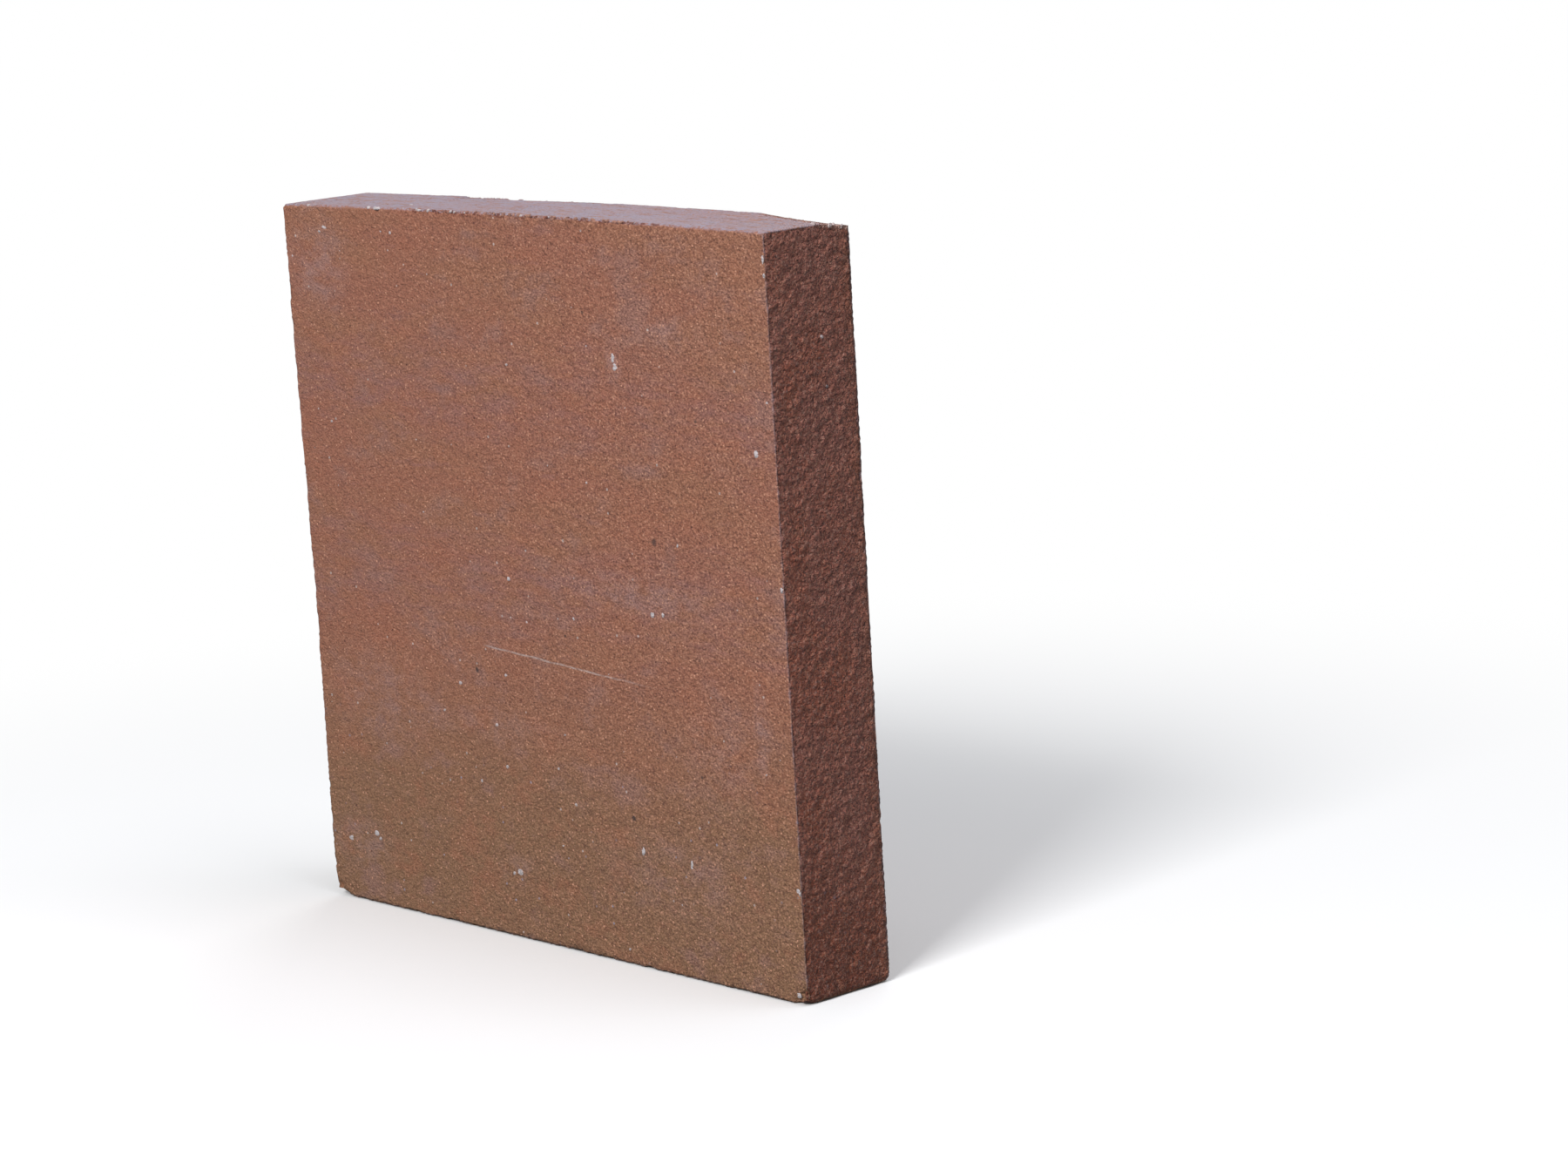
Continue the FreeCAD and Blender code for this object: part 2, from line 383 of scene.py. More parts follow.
# Pale lime specks of the fair face: place across and up, and half the width and height that show.
FRONT_SPECKS = [
    (39.1 * MM, 164.6 * MM, 0.7 * MM, 1.1 * MM),
    (39.6 * MM, 162.2 * MM, 0.9 * MM, 0.8 * MM),
    (92.3 * MM, 143.4 * MM, 0.8 * MM, 0.8 * MM),
    (-10.3 * MM, 101.3 * MM, 0.6 * MM, 0.5 * MM),
    (48.3 * MM, 97.6 * MM, 0.6 * MM, 0.7 * MM),
    (52.4 * MM, 97.8 * MM, 0.5 * MM, 0.6 * MM),
    (16.1 * MM, 93.1 * MM, 0.4 * MM, 0.4 * MM),
    (38.5 * MM, 32.5 * MM, 0.6 * MM, 0.9 * MM),
    (-14.0 * MM, 18.9 * MM, 1.0 * MM, 0.8 * MM),
    (-16.6 * MM, 18.2 * MM, 0.6 * MM, 0.5 * MM),
    (57.9 * MM, 31.3 * MM, 0.5 * MM, 1.2 * MM),
    (-90.1 * MM, 17.9 * MM, 1.0 * MM, 0.6 * MM),
    (-78.0 * MM, 20.9 * MM, 0.9 * MM, 0.7 * MM),
    (-76.4 * MM, 19.6 * MM, 0.6 * MM, 0.4 * MM),
    (-81.1 * MM, 193.8 * MM, 0.9 * MM, 0.5 * MM),
    (-83.4 * MM, 192.6 * MM, 0.5 * MM, 0.4 * MM),
    (60.0 * MM, 117.0 * MM, 0.3 * MM, 0.4 * MM),
    (98.6 * MM, 30.0 * MM, 0.7 * MM, 1.1 * MM),
    (99.0 * MM, 193.0 * MM, 0.3 * MM, 0.9 * MM),
    (99.1 * MM, 189.0 * MM, 0.3 * MM, 0.5 * MM),
    (98.9 * MM, 109.0 * MM, 0.4 * MM, 0.7 * MM),
    (96.5 * MM, 2.6 * MM, 0.8 * MM, 0.6 * MM),
]
SPECK_DEPTH = 0.21 * MM
BURIED = 1.25  # a speck is this much larger than what shows of it

# Pale chips along the top front arris: place across, and half the width.
TOP_CHIPS = [
    (-57.0 * MM, 1.6 * MM),
    (-60.5 * MM, 0.8 * MM),
    (-38.5 * MM, 0.9 * MM),
    (-24.6 * MM, 0.7 * MM),
    (-88.0 * MM, 0.7 * MM),
]


def listed(w, values, kind="VECTOR"):
    """The value that a list holds for each point in turn."""
    node = w.node("GeometryNodeIndexSwitch", data_type=kind)
    while len(node.index_switch_items) < len(values):
        node.index_switch_items.new()
    w.put(node.inputs["Index"], w.node("GeometryNodeInputIndex").outputs[0])
    for item, value in enumerate(values):
        node.inputs[1 + item].default_value = value
    return node.outputs[0]


def grain_shape(w, lime):
    """A ball of one unit radius with a few dozen faces, marked with how much lime it is."""
    sizes = {"Segments": 8, "Rings": 5, "Radius": 1.0}
    ball = w.node("GeometryNodeMeshUVSphere", inputs=sizes).outputs["Mesh"]
    return marked(w, ball, "lime", "FLOAT", lime, "POINT")


def marked(w, geometry, name, kind, value, domain):
    """The geometry with one more named attribute."""
    store = w.node("GeometryNodeStoreNamedAttribute", data_type=kind, domain=domain)
    w.put(store.inputs["Geometry"], geometry)
    w.put(store.inputs["Name"], name)
    w.put(store.inputs["Value"], value)
    return store.outputs[0]


def random_between(w, low, high, seed, kind="FLOAT"):
    node = w.node("FunctionNodeRandomValue", data_type=kind)
    slots = [socket for socket in node.inputs if socket.enabled]
    for socket, value in zip(slots, (low, high)):
        w.put(socket, value)
    w.put(node.inputs["Seed"], seed)
    return [socket for socket in node.outputs if socket.enabled][0]


def on_points(w, points, shape, scale, rotation=(0, 0, 0)):
    inputs = {"Points": points, "Instance": shape, "Scale": scale, "Rotation": rotation}
    return w.node("GeometryNodeInstanceOnPoints", inputs=inputs).outputs[0]


def listed_specks(w):
    """The lime specks of the fair face and the chips along its top arris, as flattened grains."""
    places = [(x, FRONT + SPECK_DEPTH + 0.01 * MM, z) for x, z, wide, high in FRONT_SPECKS]
    sizes = [(wide * BURIED, SPECK_DEPTH, high * BURIED) for x, z, wide, high in FRONT_SPECKS]
    for x, wide in TOP_CHIPS:
        crest = TOP - CROWN * (2 * x / WIDTH) ** 2
        places.append((x, FRONT + 0.55 * MM, crest - 0.45 * MM))
        sizes.append((wide, 0.5 * MM, 0.45 * MM))
    points = w.node("GeometryNodePoints", inputs={"Count": len(places), "Position": listed(w, places)})
    return on_points(w, points.outputs[0], grain_shape(w, 1.0), listed(w, sizes))


def strewn_grains(w, tile, seed, density):
    """Pale grog grains that stick out of the skin, more of them on the rough left edge and the foot."""
    way = w.parts(w.node("GeometryNodeInputNormal").outputs[0])
    rough = w.most(w.fade(way[0], -0.5, -0.8), w.fade(way[2], -0.5, -0.8))
    inputs = {"Mesh": tile, "Density": density * (1.0 + 5.0 * rough), "Seed": seed}
    points = w.node("GeometryNodeDistributePointsOnFaces", inputs=inputs)
    radius = Number(w, random_between(w, 0.0, 1.0, 3))
    radius = 0.22 * MM + 0.5 * MM * radius * radius * radius
    scale = w.point(radius, radius * 0.8, radius * 0.4)
    return on_points(w, points.outputs["Points"], grain_shape(w, 0.8), scale, points.outputs["Rotation"])


# Ends, across and through the thickness, of the torn length of arris and of the broken corner's ridge.
TORN_START = (-46 * MM, FRONT + 0.7 * MM)
TORN_END = (50 * MM, FRONT + 0.7 * MM)
RIDGE_START = (98.6 * MM, 3 * MM)
RIDGE_END = (98.6 * MM, 13.6 * MM)


def arris_crumbs(w, start, end, lime, count, seed):
    """Crumbs squeezed up along a line on the top face, from its start to its end."""
    line = w.node("GeometryNodeMeshLine", mode="END_POINTS")
    w.put(line.inputs["Count"], count)
    w.put(line.inputs["Start Location"], (*start, 0))
    w.put(line.inputs["Offset"], (*end, 0))
    least_shift = (-1.2 * MM, -0.3 * MM, -0.2 * MM)
    most_shift = (1.2 * MM, 0.6 * MM, 0.1 * MM)
    shift = random_between(w, least_shift, most_shift, seed, "FLOAT_VECTOR")
    x, y, z = w.parts(w.vector("ADD", w.node("GeometryNodeInputPosition").outputs[0], shift))
    broken_drop = w.fade(x, 60 * MM, 100 * MM) * w.most(y - 4 * MM, 0.0) * 0.17
    crest = TOP - x * x * (CROWN * 4 / WIDTH**2) - 0.4 * MM - broken_drop
    at = w.point(x, y, z + crest)
    spread = w.node("GeometryNodeSetPosition", inputs={"Geometry": line.outputs[0], "Position": at})
    size = Number(w, random_between(w, 0.0, 1.0, seed + 1.0))
    size = 0.25 * MM + 0.55 * MM * size * size
    turn = random_between(w, (0, 0, 0), (6.3, 6.3, 6.3), seed + 2.0, "FLOAT_VECTOR")
    scale = w.point(size * 1.3, size, size * 0.8)
    return on_points(w, spread.outputs[0], grain_shape(w, lime), scale, turn)


TILE_INPUTS = [
    ("Width", "NodeSocketFloat"),
    ("Thickness", "NodeSocketFloat"),
    ("Height", "NodeSocketFloat"),
    ("Columns", "NodeSocketInt"),
    ("Layers", "NodeSocketInt"),
    ("Crowding", "NodeSocketFloat"),
    ("Arris Radius", "NodeSocketFloat"),
    ("Arris Wear", "NodeSocketFloat"),
    ("Peel Depth", "NodeSocketFloat"),
    ("Drag Depth", "NodeSocketFloat"),
    ("Clay", "NodeSocketMaterial"),
]


def tile_tree():
    """The Geometry Nodes tree of the tile: a close-meshed box, worn and roughened by rule."""
    tree = bpy.data.node_groups.new("worn_tile", "GeometryNodeTree")
    w = Words(tree)
    tree.interface.new_socket(name="Geometry", in_out="OUTPUT", socket_type="NodeSocketGeometry")
    for name, kind in TILE_INPUTS:
        tree.interface.new_socket(name=name, in_out="INPUT", socket_type=kind)
    given = w.node("NodeGroupInput").outputs
    numbers = {name: Number(w, given[name]) for name, kind in TILE_INPUTS}
    width, thickness, height = numbers["Width"], numbers["Thickness"], numbers["Height"]

    size = w.point(width, thickness, height)
    counts = {
        "Size": size,
        "Vertices X": given["Columns"],
        "Vertices Y": given["Layers"],
        "Vertices Z": given["Columns"],
    }
    box = w.node("GeometryNodeMeshCube", inputs=counts).outputs["Mesh"]

    # Rows of vertices crowd towards the arrises, where the wear is.
    halves = (width / 2, thickness / 2, height / 2)
    crowding = numbers["Crowding"]
    spread = []
    for part, half in zip(w.parts(w.node("GeometryNodeInputPosition").outputs[0]), halves):
        share = part / half
        eased = w.math("SINE", share * (math.pi / 2))
        spread.append(half * w.blend(crowding, share, eased))
    sharp = w.point(spread[0], spread[1], spread[2] + halves[2])
    box = w.node("GeometryNodeSetPosition", inputs={"Geometry": box, "Position": sharp}).outputs[0]

    sharp = w.node("GeometryNodeInputPosition").outputs[0]
    wear = w.noise(sharp, 14 * MM, 3.0, 0.6, shift=8.8)
    arris = numbers["Arris Radius"] * (0.5 + 1.2 * wear)
    (x, y, z), way, on_arris = rounded_place(w, sharp, halves[0], halves[1], height, arris)
    z = crowned(w, x, z, height)
    x = bowed(w, x, z, width)
    skin = w.point(x, y, z)
    depths = {name: numbers[name] for name in ("Peel Depth", "Drag Depth", "Arris Wear")}
    sink = relief(w, skin, way, on_arris, depths) + nick_depth(w, x, y, z)
    x, y, z = (part - direction * sink for part, direction in zip((x, y, z), way))
    z, broken = spalled(w, x, y, z, skin)
    x, z = chipped(w, x, y, z, skin)
    worn = w.point(x, y, w.least(w.most(z, 0.0), height + CROWN))
    box = marked(w, box, "way_out", "FLOAT_VECTOR", w.point(*way), "POINT")
    box = marked(w, box, "arris", "FLOAT", on_arris, "POINT")
    box = marked(w, box, "broken", "FLOAT", broken, "POINT")
    tile = w.node("GeometryNodeSetPosition", inputs={"Geometry": box, "Position": worn}).outputs[0]
    tile = w.node("GeometryNodeSetShadeSmooth", inputs={"Geometry": tile}).outputs[0]
    tile = w.node("GeometryNodeRealizeInstances", inputs={"Geometry": tile}).outputs[0]
    finish = w.node("GeometryNodeSetMaterial", inputs={"Geometry": tile, "Material": given["Clay"]})
    w.put(w.node("NodeGroupOutput").inputs["Geometry"], finish.outputs[0])
    return tree


GRAIN_INPUTS = [
    ("Tile", "NodeSocketObject"),
    ("Seed", "NodeSocketInt"),
    ("Grains per square metre", "NodeSocketFloat"),
    ("Crumbs", "NodeSocketInt"),
    ("Pale Crumbs", "NodeSocketInt"),
    ("Ridge Crumbs", "NodeSocketInt"),
    ("Clay", "NodeSocketMaterial"),
]


def grains_tree():
    """The Geometry Nodes tree of the grains on the thinned tile: specks, strewn grog and crumbs."""
    tree = bpy.data.node_groups.new("grains", "GeometryNodeTree")
    w = Words(tree)
    tree.interface.new_socket(name="Geometry", in_out="OUTPUT", socket_type="NodeSocketGeometry")
    for name, kind in GRAIN_INPUTS:
        tree.interface.new_socket(name=name, in_out="INPUT", socket_type=kind)
    given = w.node("NodeGroupInput").outputs
    numbers = {name: Number(w, given[name]) for name, kind in GRAIN_INPUTS}
    tile = w.node("GeometryNodeObjectInfo", inputs={"Object": given["Tile"]}).outputs["Geometry"]
    seed = numbers["Seed"]
    kinds = [
        listed_specks(w),
        strewn_grains(w, tile, given["Seed"], numbers["Grains per square metre"]),
        arris_crumbs(w, TORN_START, TORN_END, 0.1, given["Crumbs"], seed + 11.0),
        arris_crumbs(w, TORN_START, TORN_END, 0.9, given["Pale Crumbs"], seed + 21.0),
        arris_crumbs(w, RIDGE_START, RIDGE_END, 0.7, given["Ridge Crumbs"], seed + 31.0),
    ]
    join = w.node("GeometryNodeJoinGeometry")
    for kind in kinds:
        w.put(join.inputs[0], kind)
    loose = w.node("GeometryNodeRealizeInstances", inputs={"Geometry": join.outputs[0]}).outputs[0]

    # Lumpy rather than round, and nowhere proud of the tile's box.
    place = w.node("GeometryNodeInputPosition").outputs[0]
    lumps = [w.noise(place, 0.7 * MM, 1.0, shift=shift) - 0.5 for shift in (0.0, 0.3, 0.6)]
    bent = [part + lump * 0.7 * MM for part, lump in zip(w.parts(place), lumps)]
    lows = (-RIGHT, FRONT, 0.0)
    highs = (RIGHT, BACK, TOP)
    kept = [w.least(w.most(part, low), high) for part, low, high in zip(bent, lows, highs)]
    moved = {"Geometry": loose, "Position": w.point(*kept)}
    loose = w.node("GeometryNodeSetPosition", inputs=moved).outputs[0]
    both = w.node("GeometryNodeJoinGeometry")
    w.put(both.inputs[0], tile)
    w.put(both.inputs[0], loose)
    smooth = w.node("GeometryNodeSetShadeSmooth", inputs={"Geometry": both.outputs[0]}).outputs[0]
    whole = w.node("GeometryNodeRealizeInstances", inputs={"Geometry": smooth}).outputs[0]
    finish = w.node("GeometryNodeSetMaterial", inputs={"Geometry": whole, "Material": given["Clay"]})
    w.put(w.node("NodeGroupOutput").inputs["Geometry"], finish.outputs[0])
    return tree


def made_by(tree, name, values):
    """Runs a Geometry Nodes tree with these named inputs, and returns the plain object it makes."""
    seed = bpy.data.objects.new(name + "_seed", bpy.data.meshes.new(name + "_seed"))
    bpy.context.scene.collection.objects.link(seed)
    modifier = seed.modifiers.new("nodes", "NODES")
    modifier.node_group = tree
    for item in tree.interface.items_tree:
        if item.in_out == "INPUT":
            modifier[item.identifier] = values[item.name]
    graph = bpy.context.evaluated_depsgraph_get()
    mesh = bpy.data.meshes.new_from_object(seed.evaluated_get(graph), depsgraph=graph)
    bpy.data.objects.remove(seed)
    piece = bpy.data.objects.new(name, mesh)
    bpy.context.scene.collection.objects.link(piece)
    return piece


def thinned(piece, most_triangles):
    """Joins faces where the surface is flat, until at most this many triangles are left."""
    triangles = sum(len(face.vertices) - 2 for face in piece.data.polygons)
    modifier = piece.modifiers.new("thin", "DECIMATE")
    modifier.ratio = min(1.0, most_triangles / triangles)
    graph = bpy.context.evaluated_depsgraph_get()
    mesh = bpy.data.meshes.new_from_object(
        piece.evaluated_get(graph), preserve_all_data_layers=True, depsgraph=graph
    )
    piece.modifiers.clear()
    piece.data = mesh
    return piece


def lay_out(piece):
    """The piece's map: both broad faces side by side below, the four edge faces as strips above them."""
    mesh = piece.data
    layer = mesh.uv_layers.new(name="OFBake")
    for face in mesh.polygons:
        normal = face.normal
        reach = (abs(normal.x) / 1.1, abs(normal.y), abs(normal.z) / 1.1)
        axis = reach.index(max(reach))
        side = normal[axis] > 0
        for corner in face.loop_indices:
            x, y, z = mesh.vertices[mesh.loops[corner].vertex_index].co
            across, up, deep = x / WIDTH + 0.5, z / TOP, y / THICKNESS + 0.5
            if axis == 1:
                u, v = (0.01 + 0.48 * across + 0.5 * side, 0.01 + 0.72 * up)
            elif axis == 0:
                u, v = (0.01 + 0.48 * up + 0.5 * side, 0.75 + 0.11 * deep)
            else:
                u, v = (0.01 + 0.48 * across + 0.5 * side, 0.88 + 0.11 * deep)
            layer.uv[corner].vector = (u, v)


# ---------------------------------------------------------------- the fired clay


def fired_clay():
    """Unglazed red refractory clay: clouded reds, fine grog, pale scum on the wire-cut top, tinted lilac
    partly as a painted cool sheen.
    """
    material = bpy.data.materials.new(SLOT)
    material.use_nodes = True
    tree = material.node_tree
    tree.nodes.clear()
    w = Words(tree)
    place = w.node("ShaderNodeTexCoord").outputs["Object"]
    x, y, z = w.parts(place)
    way = w.parts(w.node("ShaderNodeAttribute", attribute_name="way_out").outputs["Vector"])
    arris = Number(w, w.node("ShaderNodeAttribute", attribute_name="arris").outputs["Fac"])
    broken = Number(w, w.node("ShaderNodeAttribute", attribute_name="broken").outputs["Fac"])
    edge_face = w.most(w.fade(w.size_of(way[0]), 0.5, 0.85), broken)
    top = w.fade(way[2], 0.5, 0.85) * (1.0 - broken)

    colour = colour_clouds(w, place, z)
    colour = edge_tint(w, place, colour, y, z, edge_face)
    colour = hazes(w, place, colour, x, y, z)
    colour = grog(w, place, colour, x, z, edge_face)
    colour = scum_and_sheen(w, place, colour, top, arris)
    colour = orange_ridge(w, place, colour, x, y, z, broken)
    colour = iron_spots(w, place, colour, x, y, z)
    colour = scratch(w, place, colour, x, y, z)
    lime = Number(w, w.node("ShaderNodeAttribute", attribute_name="lime").outputs["Fac"])
    colour = mixed(w, lime * (0.6 + 0.5 * w.noise(place, 1.2 * MM, 2.0, shift=4.4)), colour, LIME)

    rough = 0.84 + 0.10 * w.noise(place, 6 * MM, 3.0, shift=2.9) - 0.14 * edge_face
    shader = w.node("ShaderNodeBsdfPrincipled")
    w.put(shader.inputs["Base Color"], colour)
    w.put(shader.inputs["Roughness"], rough)
    w.put(shader.inputs["Normal"], gritty_normal(w, place, edge_face))
    shader.inputs["Specular IOR Level"].default_value = 0.35
    w.put(w.node("ShaderNodeOutputMaterial").inputs["Surface"], shader.outputs[0])
    return material


def gritty_normal(w, place, edge_face):
    """Grit finer than the mesh: sand and pinholes everywhere, blunt mounds on the upright edge faces."""
    grain = w.noise(place, 0.6 * MM, 2.0, 0.6, shift=0.9)
    mounds = w.cells(w.vector("ADD", place, (0.2, 0.4, 0.6)), 1.35 * MM, "SMOOTH_F1")[0]
    coarse = w.noise(place, 1.5 * MM, 3.0, 0.6, shift=1.7)
    pits = w.seeds(place, 1.9 * MM, 0.22, 0.36 * MM)
    height = (1.3 + 3.4 * edge_face) * grain + (1.4 + 4.0 * edge_face) * coarse - 1.0 * pits
    height = height - (4.2 * edge_face) * mounds
    inputs = {"Height": height, "Strength": 1.0, "Distance": 0.6 * MM}
    return w.node("ShaderNodeBump", inputs=inputs).outputs["Normal"]


def mixed(w, factor, a, b):
    """Colour a where factor is 0, b where it is 1."""
    node = w.node("ShaderNodeMix", data_type="RGBA", clamp_factor=True)
    w.put(node.inputs[0], factor)
    for socket, value in ((node.inputs[6], a), (node.inputs[7], b)):
        w.put(socket, (*value, 1.0) if isinstance(value, tuple) else value)
    return node.outputs[2]


RED_CLAY = (0.322, 0.130, 0.083)
TAN_CLAY = (0.319, 0.138, 0.082)
PURPLE_CLAY = (0.285, 0.134, 0.118)
GREY_CLAY = (0.300, 0.165, 0.140)
ORANGE_CLAY = (0.365, 0.135, 0.076)
OLIVE_CLAY = (0.238, 0.132, 0.070)
EDGE_RED = (0.398, 0.112, 0.065)
EDGE_PURPLE = (0.384, 0.134, 0.100)
# Painted shade low down on the upright edge faces.
EDGE_LOW_SHADE = (0.258, 0.056, 0.025)
EDGE_ORANGE = (0.400, 0.140, 0.085)
IRON = (0.030, 0.022, 0.024)
DARK_CLAY = (0.110, 0.038, 0.030)
# Painted shade for the pits of the torn top arris.
TORN_PIT_SHADE = (0.130, 0.036, 0.024)
TAN_GROG = (0.580, 0.292, 0.192)
PALE_GROG = (0.560, 0.460, 0.430)
PINK_CRUMB = (0.680, 0.430, 0.360)
# Painted highlights on the bumps of the upright edge faces.
EDGE_GLINT = (0.570, 0.320, 0.255)
# The two pale salt colours below are tinted lilac-blue partly as a painted cool sheen of the top face.
SALT_AND_SHEEN = (0.335, 0.310, 0.392)
PINK_SALT_AND_SHEEN = (0.355, 0.278, 0.322)
HAZE = (0.375, 0.240, 0.232)
LIME = (0.600, 0.560, 0.580)


def colour_clouds(w, place, z):
    """The mottling in level bands: red and tan, two purplish bands, and olive towards the foot."""
    drawn = w.stretched(place, 0.28, 1.0, 1.0)
    band = w.noise(drawn, 17 * MM, 3.0, 0.55)
    streak = w.noise(drawn, 4.5 * MM, 4.0, 0.65, shift=0.4)
    cloud = w.noise(w.stretched(place, 0.6, 1.0, 1.0), 11 * MM, 4.0, 0.65, shift=1.9)
    colour = mixed(w, w.fade(band, 0.40, 0.60), RED_CLAY, TAN_CLAY)
    wander = (cloud - 0.5) * 26 * MM
    upper = w.fade(w.size_of(z + wander - 152 * MM), 20 * MM, 4 * MM)
    lower = w.fade(w.size_of(z + wander - 100 * MM), 20 * MM, 4 * MM)
    colour = mixed(w, (upper + lower) * w.fade(streak, 0.35, 0.65) * 0.60, colour, PURPLE_CLAY)
    colour = mixed(w, w.fade(streak, 0.56, 0.72) * 0.50, colour, PURPLE_CLAY)
    foot = w.fade(z + (band - 0.5) * 80 * MM, 86 * MM, 26 * MM)
    colour = mixed(w, foot * 0.85, colour, OLIVE_CLAY)
    colour = mixed(w, w.fade(cloud, 0.52, 0.70) * 0.55, colour, GREY_CLAY)
    return mixed(w, w.fade(cloud, 0.50, 0.32) * 0.40, colour, ORANGE_CLAY)


def edge_tint(w, place, colour, y, z, edge_face):
    """The upright edge faces are plainer: red, purple in patches, painted shade low down, orange at the
    back.
    """
    patch = w.noise(w.stretched(place, 1.0, 1.0, 0.5), 16 * MM, 3.0, 0.55, shift=2.1)
    veiled = mixed(w, w.fade(patch, 0.36, 0.62), EDGE_RED, EDGE_PURPLE)
    # Darker and redder low down on the upright edge faces: painted shade.
    low = w.fade(z + (patch - 0.5) * 60 * MM, 60 * MM, 0.0)
    veiled = mixed(w, low, veiled, EDGE_LOW_SHADE)
    rim = w.fade(y + (patch - 0.5) * 4 * MM, 9.5 * MM, 14.5 * MM)
    veiled = mixed(w, rim * 0.6, veiled, EDGE_ORANGE)
    return mixed(w, edge_face * 0.9, colour, veiled)


def grog(w, place, colour, x, z, edge_face):
    """Sand in the clay, light and dark, with glints, pinpricks, pale grains, holes, and salts low down;
    pale specks on the upright edge faces are painted highlights.
    """
    sandy = 0.70 + 0.45 * w.fade(x, -90 * MM, 80 * MM)
    fine = w.noise(place, 0.75 * MM, 2.0, 0.6, shift=0.2)
    coarse = w.noise(place, 2.4 * MM, 3.0, 0.6, shift=3.6)
    colour = mixed(w, w.fade(coarse, 0.52, 0.30) * sandy * 0.22, colour, DARK_CLAY)
    colour = mixed(w, w.fade(coarse, 0.50, 0.70) * sandy * 0.13, colour, TAN_GROG)
    colour = mixed(w, w.fade(fine, 0.52, 0.28) * sandy * (0.62 + 0.4 * edge_face), colour, DARK_CLAY)
    colour = mixed(w, w.fade(fine, 0.52, 0.72) * sandy * (0.55 - 0.15 * edge_face), colour, TAN_GROG)
    glints = w.seeds(place, 1.2 * MM, 0.26, 0.30 * MM)
    colour = mixed(w, glints * (0.9 - 0.6 * edge_face), colour, TAN_GROG)
    pinpricks = w.seeds(w.vector("ADD", place, (0.31, 0.17, 0.05)), 2.2 * MM, 0.12, 0.32 * MM)
    colour = mixed(w, pinpricks * 0.9, colour, DARK_CLAY)
    dark_side = w.fade(w.noise(place, 0.8 * MM, 2.0, 0.6, shift=7.4), 0.52, 0.36) * edge_face
    colour = mixed(w, dark_side * 0.50, colour, DARK_CLAY)
    # Pale specks on the upright edge faces: painted highlights on their bumps.
    edge_highlights = w.noise(place, 0.9 * MM, 2.0, 0.6, shift=5.1)
    colour = mixed(w, w.fade(edge_highlights, 0.52, 0.66) * edge_face * 0.42, colour, EDGE_GLINT)
    pale = w.seeds(w.vector("ADD", place, (0.11, 0.43, 0.27)), 4 * MM, 0.24, 0.36 * MM)
    colour = mixed(w, pale * 0.75, colour, PALE_GROG)
    holes = w.seeds(w.vector("ADD", place, (0.53, 0.21, 0.37)), 6 * MM, 0.14, 0.42 * MM)
    colour = mixed(w, holes * 0.9, colour, DARK_CLAY)
    low_down = w.fade(z, 66 * MM, 40 * MM) * w.fade(w.noise(place, 14 * MM, 2.0, shift=8.3), 0.42, 0.58)
    salts = w.seeds(w.vector("ADD", place, (0.23, 0.37, 0.41)), 3.4 * MM, 0.42, 0.46 * MM)
    return mixed(w, salts * low_down * (0.8 - 0.5 * edge_face), colour, SALT_AND_SHEEN)


# Dark iron spots of the fair face: place across and up, radius and strength.
IRON_SPOTS = [
    (50.8 * MM, 117.0 * MM, 1.3 * MM, 0.8),
    (-26.8 * MM, 74.4 * MM, 1.0 * MM, 1.0),
    (35.5 * MM, 41.1 * MM, 1.0 * MM, 1.0),
    (12.0 * MM, 88.0 * MM, 0.6 * MM, 0.8),
    (70.0 * MM, 150.0 * MM, 0.6 * MM, 0.8),
    (28.0 * MM, 176.0 * MM, 0.6 * MM, 0.8),
    (64.0 * MM, 56.0 * MM, 0.6 * MM, 0.8),
]


# Faint pale hazes of the fair face: place across and up, half width, half height and strength.
HAZES = [
    (88 * MM, 72 * MM, 3 * MM, 14 * MM, 0.50),
    (-86 * MM, 184 * MM, 16 * MM, 14 * MM, 0.40),
    (44 * MM, 102 * MM, 34 * MM, 6 * MM, 0.45),
    (39 * MM, 163 * MM, 4 * MM, 6 * MM, 0.50),
    (-84 * MM, 18 * MM, 15 * MM, 8 * MM, 0.45),
    (-15 * MM, 19 * MM, 8 * MM, 5 * MM, 0.40),
    (-20 * MM, 60 * MM, 30 * MM, 5 * MM, 0.30),
    (62 * MM, 172 * MM, 16 * MM, 5 * MM, 0.30),
    (50 * MM, 26 * MM, 34 * MM, 14 * MM, 0.22),
    (74 * MM, 62 * MM, 18 * MM, 16 * MM, 0.30),
    (-70 * MM, 62 * MM, 26 * MM, 16 * MM, 0.30),
]


def on_front(w, y):
    """1 close to the front face, 0 everywhere else."""
    return w.math("LESS_THAN", y, FRONT * 0.8)


def hazes(w, place, colour, x, y, z):
    """Thin lilac salts in clouds on the front face."""
    torn = w.noise(w.stretched(place, 0.7, 1.0, 1.0), 5 * MM, 4.0, 0.65, shift=5.7)
    speckled = w.fade(torn, 0.36, 0.66) * on_front(w, y)
    for middle_x, middle_z, half_width, half_height, strength in HAZES:
        across, up = (x - middle_x) / half_width, (z - middle_z) / half_height
        away = w.root(across * across + up * up)
        colour = mixed(w, w.fade(away, 1.3, 0.2) * speckled * strength, colour, HAZE)
    return colour


def iron_spots(w, place, colour, x, y, z):
    """A few dark spots on the front face with ragged rims."""
    front = on_front(w, y)
    ragged = (w.noise(place, 0.8 * MM, 2.0, shift=2.6) - 0.5) * 0.7 * MM
    for spot_x, spot_z, radius, strength in IRON_SPOTS:
        across, up = x - spot_x, z - spot_z
        away = w.root(across * across + up * up) + ragged
        spot = w.fade(away, radius, radius * 0.4) * front * (0.85 * strength)
        colour = mixed(w, spot, colour, IRON)
    return colour


